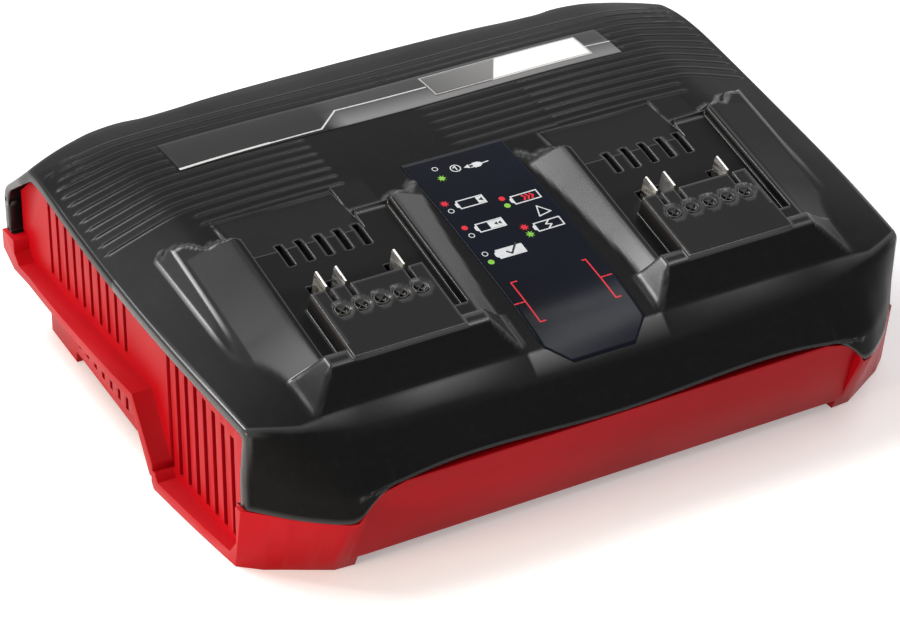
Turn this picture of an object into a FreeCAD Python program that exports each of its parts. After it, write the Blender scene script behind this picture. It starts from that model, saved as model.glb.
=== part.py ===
import FreeCAD, Part
import math
import os
import Sketcher

V = FreeCAD.Vector
doc = FreeCAD.newDocument("twin_dock_charger")
sheet = doc.addObject("Spreadsheet::Sheet", "Dims")

# Driving dimensions, millimetres and degrees. X runs along the front, Y to the back, Z up.
dims = {
    "dock_spacing": 141.0, "dock_tilt": 14.4, "dock_y": -83.0, "dock_z": 75.4,
    "rim_half": 145.0, "rim_front_half": 139.5, "rim_rear_half": 143.0, "lip_reach": 1.6,
    "cover_wall": 3.4, "tub_wall": 2.8, "tub_front_wall": 7.0, "end_wall_x": 138.0,
    "split_mid_z": 39.7, "split_corner_z": 26.9, "split_rear_z": 44.0, "floor_z": 4.9, "floor_thick": 2.6,
    "plateau_half": 23.2, "rail_half": 31.0, "dock_top_half": 32.1, "plateau_len": 34.8,
    "dock_len": 73.0, "dock_base_drop": 10.2, "flank_inner": 43.5, "flank_outer": 48.0, "well_depth": 8.0, "vent_hole_r": 2.9, "blade_thick": 0.8,
    "film_thick": 0.35, "strip_thick": 0.6, "strip_long": 196.0, "strip_deep": 21.0, "strip_y": 46.0,
    "badge_long": 72.0, "badge_deep": 15.0, "badge_thick": 0.5, "badge_x": 14.5, "badge_y": 49.5,
    "board_long": 236.0, "board_deep": 128.0, "board_thick": 1.6, "board_z": 14.0, "board_y": 8.0,
    "board_hole_r": 1.9, "board_screw_r": 1.5, "board_screw_long": 8.0,
    "led_board_long": 40.0, "led_board_deep": 66.0, "led_board_y": 45.0, "led_board_drop": -21.0,
    "led_r": 1.4, "led_high": 6.0,
    "bulk_cap_r": 11.0, "bulk_cap_high": 30.0, "small_cap_r": 5.0, "small_cap_high": 16.0,
    "sink_thick": 3.0, "sink_long": 60.0, "sink_high": 28.0, "chip_wide": 15.0, "chip_thick": 4.6,
    "chip_high": 18.0, "fuse_r": 2.6, "fuse_long": 20.0, "clip_thick": 1.6, "clip_wide": 7.0, "clip_high": 5.0,
    "terminal_long": 16.0, "terminal_deep": 9.0, "terminal_high": 12.0, "gland_r": 6.0, "gland_bore_r": 3.4,
    "gland_long": 13.0, "gland_z": 24.0, "gland_cut": 30.0, "collar_r": 8.0, "collar_long": 3.0,
    "collar_y": 97.4, "screw_r": 1.9, "screw_head_r": 3.4, "screw_head_high": 2.4, "housing_screw_long": 36.0,
    "screw_sink": 8.0, "post_r": 5.2, "post_top_z": 38.0, "keyhole_spacing": 180.0, "keyhole_r": 4.6,
    "keyhole_slot_r": 2.4, "keyhole_drop": 9.0, "keyhole_y": -20.0,
}
for row, (alias, value) in enumerate(dims.items(), start=1):
    sheet.set("A%d" % row, alias)
    sheet.set("B%d" % row, str(value))
    sheet.setAlias("B%d" % row, alias)
doc.recompute()


def dim(alias):
    return float(getattr(sheet, alias))


# Small helpers for outlines

def between(x, stations):
    """Straight-line reading of a list of (x, value) pairs."""
    x = abs(x)
    for (x0, v0), (x1, v1) in zip(stations[:-1], stations[1:]):
        if x <= x1:
            return v0 + (v1 - v0) * (x - x0) / (x1 - x0)
    return stations[-1][1]


def polygon(points):
    return Part.makePolygon(points + [points[0]])


def prism(points, along):
    return Part.Face(polygon(points)).extrude(along)


def box(x0, x1, y0, y1, z0, z1):
    return Part.makeBox(x1 - x0, y1 - y0, z1 - z0, V(x0, y0, z0))


def both_ends(shape):
    """The shape and its mirror image across the middle plane."""
    return [shape, shape.mirror(V(0, 0, 0), V(1, 0, 0))]


def fuse_all(shapes):
    return shapes[0].multiFuse(shapes[1:]) if len(shapes) > 1 else shapes[0]


def dock_placement(side):
    """Docks lean up toward the back; side is -1 for the left one and 1 for the right one."""
    tilt = FreeCAD.Rotation(V(1, 0, 0), dim("dock_tilt"))
    return FreeCAD.Placement(V(side * dim("dock_spacing") / 2, dim("dock_y"), dim("dock_z")), tilt)


def at_dock(shape, side):
    moved = shape.copy()
    moved.Placement = dock_placement(side).multiply(moved.Placement)
    return moved


# The housing's outside, read across at stations along X

front_top_y = [(0, -104), (65, -102.2), (101, -101.3), (112, -98.9), (128, -93.8), (140, -87.2), (150, -81)]
front_top_z = [(0, 55.5), (101, 56.3), (112, 56.9), (128, 58.2), (140, 60.0), (150, 61.3)]
front_low_y = [(0, -113.6), (65, -113.4), (101, -113.2), (108, -112.8), (113, -111.2), (120, -105.6),
               (128, -98.4), (134, -91.6), (139, -86.2), (150, -78)]
foot_front_y = [(0, -100), (101, -100), (113, -99.2), (122, -93.4), (134, -86.6), (142, -79.5), (150, -72)]
rear_top_y = [(0, 104.7), (32, 103.8), (61, 101.8), (88, 99.0), (91, 99.6), (97, 101.6), (120, 98), (134, 93),
              (142, 88.5), (150, 82)]
rear_low_y = [(0, 113.6), (150, 113.6)]
crown = [(-104, 55.5), (-93, 62.5), (-80.7, 66.4), (-46.8, 75.1), (-10.6, 83.1), (12.2, 86.4), (47.8, 89.6),
         (65, 90.2), (84, 88.6), (105, 84.4)]
rim_top_z = [(-104, 57.6), (-87, 60.2), (-62, 63.6), (-45, 66.0), (-9, 71.0), (18, 75.0), (47, 79.6), (62, 81.8),
             (78, 82.8), (90, 81.0), (105, 77.0)]
crown_share = [(0, 0.0), (101, 0.0), (112, 0.10), (120, 0.28), (128, 0.50), (134, 0.67), (140, 0.85), (150, 1.15)]


def read_curve(y, curve):
    y = max(curve[0][0], min(curve[-1][0], y))
    for (y0, v0), (y1, v1) in zip(curve[:-1], curve[1:]):
        if y <= y1:
            return v0 + (v1 - v0) * (y - y0) / (y1 - y0)
    return curve[-1][1]


def top_z(x, y):
    """Height of the top surface: the middle crown, sinking to the rim toward each end."""
    mid = read_curve(y, crown)
    return mid - between(x, crown_share) * (mid - read_curve(y, rim_top_z))


def outline(x):
    """Corner points (y, z) of the housing cut across at x, clockwise from 2 mm under the bottom front."""
    y0, y1 = between(x, front_top_y), between(x, rear_top_y)
    low, back = between(x, front_low_y), between(x, rear_low_y)
    foot = between(x, foot_front_y)
    points = [(foot + (foot - low) * 2.0 / 27.0, -2.0), (low, 27.0), (low, 39.7), (y0, between(x, front_top_z))]
    for share in (0.05, 0.12, 0.26, 0.42, 0.56, 0.70, 0.82, 0.91):
        y = y0 + share * (y1 - y0)
        points.append((y, top_z(x, y)))
    points += [(y1, top_z(x, y1) - 0.4), (back, 62.0), (back, 27.0), (back - 11.8, -2.0)]
    return points


def shrink(points, inset):
    """Moves each side of the outline inward by the inset, with mitred corners."""
    count, moved = len(points), []
    for i, (y, z) in enumerate(points):
        (ya, za), (yb, zb) = points[i - 1], points[(i + 1) % count]
        a = math.hypot(y - ya, z - za)
        b = math.hypot(yb - y, zb - z)
        na = ((z - za) / a, -(y - ya) / a)
        nb = ((zb - z) / b, -(yb - y) / b)
        ny, nz = na[0] + nb[0], na[1] + nb[1]
        scale = inset * 2.0 / (ny * ny + nz * nz)
        moved.append((y + ny * scale, z + nz * scale))
    return moved


def rounded_corner(before, corner, after, cut):
    """Start, middle and end of the round that replaces a corner."""
    to_before, to_after = before.sub(corner), after.sub(corner)
    start = corner.add(to_before.multiply(cut / to_before.Length))
    end = corner.add(to_after.multiply(cut / to_after.Length))
    middle = corner.multiply(1.0 / 2.0).add(start.add(end).multiply(1.0 / 4.0))
    return start, middle, end


def section_wire(x, inset):
    pts = [V(x, y, z) for y, z in shrink(outline(x), inset)]
    first_top, last_top = 3, len(pts) - 4
    low = rounded_corner(V(pts[1]), V(pts[2]), V(pts[3]), 2.0)
    front = rounded_corner(V(pts[2]), V(pts[3]), V(pts[4]), 2.4)
    rear = rounded_corner(V(pts[last_top - 1]), V(pts[last_top]), V(pts[last_top + 1]), 3.0)
    crest = Part.BSplineCurve()
    crest.interpolate([front[2]] + pts[first_top + 1:last_top] + [rear[0]])
    edges = [
        Part.LineSegment(pts[0], pts[1]), Part.LineSegment(pts[1], low[0]), Part.Arc(*low),
        Part.LineSegment(low[2], front[0]), Part.Arc(*front), crest, Part.Arc(*rear),
        Part.LineSegment(rear[2], pts[-3]), Part.LineSegment(pts[-3], pts[-2]),
        Part.LineSegment(pts[-2], pts[-1]), Part.LineSegment(pts[-1], pts[0]),
    ]
    return Part.Wire([e.toShape() for e in edges])


half_stations = [32, 61, 88, 91, 97, 101, 108, 112, 120, 128, 134, 140, 150]
stations = [-x for x in reversed(half_stations)] + [0] + half_stations


def housing(inset):
    return Part.makeLoft([section_wire(x, inset) for x in stations], True, True)


def plan_prism(extra):
    """The bowed outline of the two ends, seen from above."""
    mid, front = dim("rim_half") + extra, dim("rim_front_half") + extra
    rear = dim("rim_rear_half") + extra
    right = Part.Arc(V(front, -87, -5), V(mid, 32, -5), V(rear, 90, -5))
    left = Part.Arc(V(-rear, 90, -5), V(-mid, 32, -5), V(-front, -87, -5))
    edges = [right, Part.LineSegment(V(rear, 90, -5), V(rear, 125, -5)),
             Part.LineSegment(V(rear, 125, -5), V(-rear, 125, -5)),
             Part.LineSegment(V(-rear, 125, -5), V(-rear, 90, -5)), left,
             Part.LineSegment(V(-front, -87, -5), V(2 - front, -125, -5)),
             Part.LineSegment(V(2 - front, -125, -5), V(front - 2, -125, -5)),
             Part.LineSegment(V(front - 2, -125, -5), V(front, -87, -5))]
    return Part.Face(Part.Wire([e.toShape() for e in edges])).extrude(V(0, 0, 120))


def split_block(gap):
    """Everything below the line where the cover meets the tub, lowered by the gap."""
    mid, corner = dim("split_mid_z") - gap, dim("split_corner_z") - gap
    rear = dim("split_rear_z") - gap
    curve = [(-112, corner), (-108.4, corner), (-105.7, corner + 4.1), (-102, corner + 8.0),
             (-97.5, corner + 10.7), (-90, mid)]
    right = [(-x, z) for x, z in reversed(curve)]
    points = [(-160, -10), (-160, corner)] + curve + right + [(160, corner), (160, -10)]
    front = prism([V(x, -130, z) for x, z in points], V(0, 130, 0))
    return front.fuse(box(-160, 160, 0, 130, -10, rear))


# Docks, drawn level with the plateau's front edge at the origin

def dock_block(side):
    """The raised block: sloped front and flanks under a flat top, its outer flank the longer one."""
    top, drop, length = dim("dock_top_half"), dim("dock_base_drop"), dim("dock_len")
    inner, outer = dim("flank_inner"), dim("flank_outer")
    left, right = (-inner, outer) if side > 0 else (-outer, inner)
    lower = [V(left, -13.0, -drop), V(right, -13.0, -drop), V(right, length + 5, -drop - 1),
             V(left, length + 5, -drop - 1)]
    upper = [V(-top, 6.5, -3.9), V(top, 6.5, -3.9), V(top, length, -3.9), V(-top, length, -3.9)]
    wide = [V(v.x * 1.12, v.y - 1.0, v.z - 4.0) for v in lower]
    brow_low = [V(left + 0.8, -13.0, -drop), V(right - 0.8, -13.0, -drop), V(33.6, 6.5, -drop), V(-33.6, 6.5, -drop)]
    brow_top = [V(-top, 0.6, -0.9), V(top, 0.6, -0.9), V(top, 6.5, -0.9), V(-top, 6.5, -0.9)]
    block = Part.makeLoft([polygon(lower), polygon(upper)], True, True)
    skirt = Part.makeLoft([polygon(wide), polygon(lower)], True, True)
    brow = Part.makeLoft([polygon(brow_low), polygon(brow_top)], True, True)
    return block.multiFuse([skirt, brow])


def dock_plateau():
    half, length = dim("plateau_half"), dim("plateau_len")
    return box(-half, half, 0.1, length, -10.9, 0)


def dock_well():
    """What is cut out of the block: two side channels and the deep well behind the plateau."""
    rail, half, length = dim("rail_half"), dim("plateau_half"), dim("dock_len")
    depth = dim("well_depth")
    left = box(-rail, -half, 7.0, length + 1, -depth, 5)
    right = box(half, rail, 14.0, length + 1, -depth, 5)
    well = box(-rail, rail, dim("plateau_len"), length + 1, -depth, 5)
    ramp = prism([V(-33, 66, -depth), V(-33, 94, -13.6), V(-33, 97, 5), V(-33, 66, 5)], V(50, 0, 0))
    return fuse_all([left, right, well, ramp])


blade_offsets = (-16.0, -8.0, 16.0)
vent_offsets = (-16.0, -8.0, 0.0, 8.0, 16.0)


def dock_slots():
    """Blade slots at the plateau's back edge, round recessed vents and five long vents in the well."""
    cuts = [box(x - 0.9, x + 0.9, 28.5, 45.0, -30, 5) for x in blade_offsets]
    cuts += [box(x - 2.4, x, 34.8, 45.0, -30, 5) for x in blade_offsets]
    cuts += [Part.makeCylinder(dim("vent_hole_r"), 1.4, V(x, 23.3, -1.4)) for x in vent_offsets]
    cuts += [Part.makeCylinder(1.3, 25, V(x, 23.3, -24)) for x in vent_offsets]
    cuts += [box(x - 2.9, x - 0.3, 57.5, 69.5, -30, 0) for x in vent_offsets]
    return cuts


def dock_pocket():
    """The room under the plateau that takes the contact block."""
    return box(-27, 27, 4, 52, -60, -11.0)


def top_cover_shape():
    wall = dim("cover_wall")
    shell = housing(0).common(plan_prism(0)).cut(split_block(0))
    solid = shell.cut(housing(wall))
    sides = (-1, 1)
    linings = [at_dock(box(-34, 34, -6, 97, -18, -4), side).common(housing(1.0)) for side in sides]
    solid = solid.multiFuse([at_dock(dock_block(side), side) for side in sides] + linings)
    solid = solid.cut(fuse_all([at_dock(dock_well(), side) for side in sides]))
    solid = solid.multiFuse([at_dock(dock_plateau(), side) for side in sides])
    cuts = [at_dock(c, side) for side in sides for c in dock_slots() + [dock_pocket()]]
    return solid.cut(Part.makeCompound(cuts + [inlet_hole()]))


# Ends of the tub

def lip_band():
    """The C-shaped lip below each end opening: low at the front, stepping up toward the back."""
    low, rear = dim("split_corner_z") - 0.3, dim("split_rear_z") - 0.3
    inner = [(-80.8, low), (-80.8, 11.0), (-76.0, 4.6), (-24.0, 4.6), (-6.0, 34.0), (99.0, 34.0), (103.0, 38.0),
             (103.0, rear)]
    outer = [(118.0, rear), (118.0, 38.0), (104.0, 30.2), (-3.5, 30.2), (-20.5, 0.0), (-92.0, 0.0), (-92.0, low)]
    return prism([V(134, y, z) for y, z in inner + outer], V(20, 0, 0))


def side_slots():
    """Upright air slots in the end walls: back row, front row and the low row under the lip."""
    slots = []
    for i in range(10):
        y = 81.0 - 7.3 * i
        slots.append(box(133.5, 150, y - 1.3, y + 1.3, 38.0, top_z(138, y) - 11.0))
    for i in range(8):
        y = -21.5 - 7.3 * i
        slots.append(box(133.5, 150, y - 1.5, y + 1.5, 7.9, top_z(138, y) - 13.0))
    for i in range(9):
        y = 4.0 + 8.2 * i
        slots.append(box(120, 150, y - 1.4, y + 1.4, 9.0, 25.0))
    return slots


housing_screw_places = [(-112, -66), (0, -86), (112, -66), (-112, 86), (-40, 89), (40, 89), (112, 86)]
board_screw_places = [(-108, -46), (108, -46), (-108, 62), (108, 62)]


def toe_prism(inset):
    """The room outside the low wall, which runs inward toward the back."""
    return prism([V(139, -3 - inset, -1), V(139, 120, -1), V(118 - inset, 120, -1), V(131.5 - inset, 101, -1),
                  V(138 - inset, -3, -1)], V(0, 0, 31.2 + inset))


def under_cut():
    """What is taken off underneath so that the four corners stand as feet."""
    floor = dim("floor_z")
    mid = box(-104, 104, -130, 130, -1, floor)
    side = box(103, 150, -19, 74, -1, floor).fuse(box(103, 131, -62, -18, -1, floor))
    return [mid] + both_ends(side)


def front_wedge():
    """The middle of the red front leans back under the cover's edge."""
    floor = dim("floor_z")
    return prism([V(-106, -116, 39.4), V(-106, -113.5, 39.4), V(-106, -102.4, floor), V(-106, -102.4, -1),
                  V(-106, -116, -1)], V(212, 0, 0))


def inlet_hole():
    return Part.makeCylinder(dim("gland_r"), 30, V(0, 96, dim("gland_z")), V(0, 1, 0))


def tub_posts():
    """Upright posts for the housing screws and low ones under the circuit board."""
    low, top = dim("floor_z"), dim("post_top_z")
    posts = [Part.makeCylinder(dim("post_r"), top - low, V(x, y, low)) for x, y in housing_screw_places]
    board = dim("board_z") - low
    return posts + [Part.makeCylinder(dim("post_r"), board, V(x, y, low)) for x, y in board_screw_places]


def tub_bores():
    low, top, sink = dim("floor_z"), dim("post_top_z"), dim("screw_sink")
    head, clear = dim("screw_head_r") + 0.4, dim("screw_r") + 0.2
    bores = []
    for x, y in housing_screw_places:
        bores.append(Part.makeCylinder(head, sink + 1, V(x, y, low - 1)))
        bores.append(Part.makeCylinder(clear, top - low + 2, V(x, y, low - 1)))
    bores += [Part.makeCylinder(dim("screw_r") - 0.35, 7.0, V(x, y, dim("board_z") - 7.0))
              for x, y in board_screw_places]
    return bores


def keyholes():
    """Two keyholes in the floor for hanging the charger on a wall, with their slots toward the back."""
    cuts = []
    for side in (-1, 1):
        x, y = side * dim("keyhole_spacing") / 2, dim("keyhole_y")
        r = dim("keyhole_slot_r")
        cuts.append(Part.makeCylinder(dim("keyhole_r"), 12, V(x, y, -1)))
        cuts.append(box(x - r, x + r, y, y + dim("keyhole_drop"), -1, 11))
        cuts.append(Part.makeCylinder(r, 12, V(x, y + dim("keyhole_drop"), -1)))
    return cuts


def base_tub_shape():
    wall, end_x = dim("tub_wall"), dim("end_wall_x")
    outside = housing(0)
    lower = outside.common(split_block(0.3))
    body = lower.common(box(-end_x, end_x, -130, 130, 0, 60))
    ends = both_ends(box(end_x - wall, end_x, -104, 108, 20, 95))
    roof = housing(dim("cover_wall") + 0.3)
    risers = [roof.common(e) for e in ends]
    trimmed = plan_prism(dim("lip_reach"))
    corner = lower.common(trimmed).common(box(100, 160, -125, -80.8, 0, 60))
    lip = lip_band().common(trimmed).common(outside)
    tub = body.multiFuse(risers + both_ends(corner) + both_ends(lip))
    inner_floor = dim("floor_z") + dim("floor_thick")
    cavity = housing(dim("tub_front_wall")).common(box(wall - end_x, end_x - wall, -130, 130, inner_floor, 95))
    cavity = cavity.cut(Part.makeCompound(both_ends(toe_prism(wall))))
    tub = tub.cut(cavity).multiFuse(tub_posts())
    cuts = under_cut() + [front_wedge(), inlet_hole()] + both_ends(toe_prism(0)) + tub_bores() + keyholes()
    slots = side_slots()
    cuts += slots + [s.mirror(V(0, 0, 0), V(1, 0, 0)) for s in slots]
    return tub.cut(Part.makeCompound(cuts))


# Things that lie on the cover

def on_surface(points, low, high):
    """A thin sheet over the cover, between two heights above its surface, inside a plan outline."""
    column = prism([V(x, y, 40) for x, y in points], V(0, 0, 70))
    return housing(-high).common(column).cut(housing(-low))


def film_points():
    return [(-22, 12.4), (-22, -92.5), (-13, -100.5), (13, -100.5), (22, -92.5), (22, 12.4)]


def strip_points():
    half, y = dim("strip_long") / 2, dim("strip_y")
    return [(-half, y), (half, y), (half, y + dim("strip_deep")), (-half, y + dim("strip_deep"))]


def badge_points():
    x, y = dim("badge_x"), dim("badge_y")
    return [(x, y), (x + dim("badge_long"), y), (x + dim("badge_long"), y + dim("badge_deep")),
            (x, y + dim("badge_deep"))]


def cover_bosses(top_shape):
    """Hollow bosses that hang from the cover to take the housing screws."""
    low = dim("post_top_z") + 0.2
    bosses = [Part.makeCylinder(dim("post_r"), 92 - low, V(x, y, low)) for x, y in housing_screw_places]
    roof = housing(1.2)
    bores = [Part.makeCylinder(dim("screw_r") + 0.05, 16, V(x, y, low - 1)) for x, y in housing_screw_places]
    shaped = [b.common(roof) for b in bosses]
    return top_shape.multiFuse(shaped).cut(Part.makeCompound(bores))


nodes = []


def add_node(feature, label):
    feature.Label = label
    nodes.append(feature)
    return feature


def shaped_node(label, shape):
    feature = doc.addObject("Part::Feature", label)
    feature.Shape = shape
    return add_node(feature, label)


def bound(kind, name, place, **sizes):
    """A primitive whose sizes are read from the sheet."""
    feature = doc.addObject(kind, name)
    for key, alias in sizes.items():
        feature.setExpression(key, "Dims." + alias)
    feature.Placement = FreeCAD.Placement(V(*place), FreeCAD.Rotation())
    return feature


def grouped(label, parts):
    """Separate solids that share one node."""
    group = doc.addObject("Part::Compound", label)
    group.Links = parts
    return add_node(group, label)


def cut_node(label, base, tools):
    tool = tools[0]
    if len(tools) > 1:
        tool = doc.addObject("Part::MultiFuse", label + "_tool")
        tool.Shapes = tools
    result = doc.addObject("Part::Cut", label)
    result.Base, result.Tool = base, tool
    return add_node(result, label)


def plate_body(label, wide, deep, thick, place, holes=(), hole_alias=None):
    """A flat plate padded from a constrained rectangle, with round holes where asked."""
    body = doc.addObject("PartDesign::Body", label)
    plane = [f for f in body.Origin.OriginFeatures if f.Role == "XY_Plane"][0]
    sketch = body.newObject("Sketcher::SketchObject", label + "_outline")
    sketch.AttachmentSupport = (plane, [""])
    sketch.MapMode = "FlatFace"
    w, d = dim(wide) / 2, dim(deep) / 2
    corners = [V(-w, -d, 0), V(w, -d, 0), V(w, d, 0), V(-w, d, 0)]
    for i in range(4):
        sketch.addGeometry(Part.LineSegment(corners[i], corners[(i + 1) % 4]), False)
    for i in range(4):
        sketch.addConstraint(Sketcher.Constraint("Coincident", i, 2, (i + 1) % 4, 1))
    for i, kind in enumerate(("Horizontal", "Vertical", "Horizontal", "Vertical")):
        sketch.addConstraint(Sketcher.Constraint(kind, i))
    sketch.addConstraint(Sketcher.Constraint("Symmetric", 0, 1, 2, 1, -1, 1))
    across = sketch.addConstraint(Sketcher.Constraint("DistanceX", 0, 1, 0, 2, 2 * w))
    along = sketch.addConstraint(Sketcher.Constraint("DistanceY", 1, 1, 1, 2, 2 * d))
    sketch.setExpression("Constraints[%d]" % across, "Dims." + wide)
    sketch.setExpression("Constraints[%d]" % along, "Dims." + deep)
    for x, y in holes:
        ring = sketch.addGeometry(Part.Circle(V(x, y, 0), V(0, 0, 1), dim(hole_alias)), False)
        size = sketch.addConstraint(Sketcher.Constraint("Radius", ring, dim(hole_alias)))
        sketch.setExpression("Constraints[%d]" % size, "Dims." + hole_alias)
    pad = body.newObject("PartDesign::Pad", label + "_pad")
    pad.Profile = sketch
    pad.setExpression("Length", "Dims." + thick)
    body.Tip = pad
    body.Placement = place
    return add_node(body, label)


def level(x, y, z):
    return FreeCAD.Placement(V(x, y, z), FreeCAD.Rotation())


def screw_body(name, length_alias):
    """A pan-head screw turned about its axis, head down, from one revolved half outline."""
    body = doc.addObject("PartDesign::Body", name)
    plane = [f for f in body.Origin.OriginFeatures if f.Role == "XZ_Plane"][0]
    sketch = body.newObject("Sketcher::SketchObject", name + "_half")
    sketch.AttachmentSupport = (plane, [""])
    sketch.MapMode = "FlatFace"
    head, r, high, long = dim("screw_head_r"), dim("screw_r"), dim("screw_head_high"), dim(length_alias)
    half = [V(0, 0, 0), V(head, 0, 0), V(head, high, 0), V(r, high, 0), V(r, high + long - 1.5, 0),
            V(0.4, high + long, 0), V(0, high + long, 0)]
    for a, b in zip(half, half[1:] + half[:1]):
        sketch.addGeometry(Part.LineSegment(a, b), False)
    turn = body.newObject("PartDesign::Revolution", name + "_turn")
    turn.Profile = sketch
    turn.ReferenceAxis = (sketch, ["V_Axis"])
    turn.Angle = 360
    body.Tip = turn
    doc.recompute()
    return body.Shape.copy()


def screws_node(label, length_alias, places, z):
    screw = screw_body(label + "_one", length_alias)
    copies = []
    for x, y in places:
        one = screw.copy()
        one.Placement = level(x, y, z)
        copies.append(one)
    return shaped_node(label, Part.makeCompound([c.Solids[0] for c in copies]))


def blade_shape(offset):
    """A flat contact standing in its slot, its top corner cut at a slant."""
    half = dim("blade_thick") / 2
    points = [(35.6, 0.4), (43.8, 0.6), (44.4, -0.8), (44.4, -10.6), (41.0, -11.0), (41.0, -24.0), (32.0, -24.0),
              (32.0, -11.0), (35.6, -9.0)]
    return prism([V(offset - half, y, z) for y, z in points], V(2 * half, 0, 0))


def contact_block_shape():
    """The moulded carrier under each dock, slotted for its three blades."""
    body = box(-26, 26, 5, 51, -20, -11.2)
    slots = [box(x - 0.45, x + 0.45, 31.9, 41.1, -25, -5) for x in blade_offsets]
    body = body.cut(Part.makeCompound(slots))
    reliefs = [box(x - 3.3, x + 0.1, 56.0, 71.0, -30, 0) for x in vent_offsets]
    vents = [Part.makeCylinder(1.6, 20, V(x, 23.3, -25)) for x in vent_offsets]
    return body.cut(Part.makeCompound(reliefs + vents))


def transformer_core(side):
    x, y, z = side * 52.0, 38.0, dim("board_z") + dim("board_thick") + 2.0
    core = box(x - 21, x + 21, y - 8, y + 8, z, z + 28)
    windows = [box(x + a, x + b, y - 9, y + 9, z + 5, z + 23) for a, b in ((-15.5, -6), (6, 15.5))]
    return core.cut(Part.makeCompound(windows))


def transformer_winding(side):
    """The bobbin: a flanged box round the core's middle leg, standing on the board."""
    x, y, z = side * 52.0, 38.0, dim("board_z") + dim("board_thick") + 2.0
    coil = box(x - 13.5, x + 13.5, y - 15.5, y + 15.5, z + 5.6, z + 22.4)
    edges = [e for e in coil.Edges if abs(e.Vertexes[0].Z - e.Vertexes[1].Z) > 5]
    coil = coil.makeFillet(4.0, edges)
    return coil.cut(box(x - 6.1, x + 6.1, y - 8.1, y + 8.1, z, z + 30))


def heatsink_shape(side):
    x, y, z = side * 52.0, -30.0, dim("board_z") + dim("board_thick")
    long, thick, high = dim("sink_long"), dim("sink_thick"), dim("sink_high")
    plate = box(x - long / 2, x + long / 2, y, y + thick, z, z + high)
    count = 9
    fins = [box(x - long / 2 + i * (long - 2) / (count - 1), x - long / 2 + i * (long - 2) / (count - 1) + 2,
                y + thick - 0.1, y + thick + 9, z, z + high) for i in range(count)]
    return fuse_all([plate] + fins)


def swept_wire(points, radius):
    """A round wire through the points, its corners rounded by arcs."""
    edges, at = [], points[0]
    for i in range(1, len(points) - 1):
        a, b, c = points[i - 1], points[i], points[i + 1]
        start, middle, end = rounded_corner(V(a), V(b), V(c), min((a - b).Length, (c - b).Length) * 0.45)
        edges.append(Part.LineSegment(at, start).toShape())
        edges.append(Part.Arc(start, middle, end).toShape())
        at = end
    edges.append(Part.LineSegment(at, points[-1]).toShape())
    path = Part.Wire(edges)
    ring = Part.Wire(Part.makeCircle(radius, points[0], points[1] - points[0]))
    return path.makePipeShell([ring], True, True)


def dock_leads(side):
    """Three insulated leads from the blades' roots down to the board."""
    place = dock_placement(side)
    wires = []
    for offset in blade_offsets:
        top = place.multVec(V(offset, 36.5, -24.05))
        below = place.multVec(V(offset, 36.5, -31.0))
        foot = V(below.x + 1.5, -44.0, dim("board_z") + dim("board_thick") + 0.1)
        wires.append(swept_wire([top, below, V(foot.x, foot.y, foot.z + 10), foot], 1.1))
    return Part.makeCompound(wires)


def mains_leads():
    z = dim("gland_z")
    wires = []
    for side in (-1, 1):
        start = V(side * 1.6, 97.0, z)
        mouth = V(side * 1.6, 91.0, z)
        wires.append(swept_wire([start, mouth, V(side * 4.0, 82.0, z - 2), V(side * 4.0, 74.1, z - 2)], 1.2))
    return Part.makeCompound(wires)


def choke_shape():
    x, y, z = 32.0, 58.0, dim("board_z") + dim("board_thick")
    ring = Part.makeTorus(9.0, 3.4, V(x, y, z + 12.4), V(0, 1, 0))
    return ring


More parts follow.
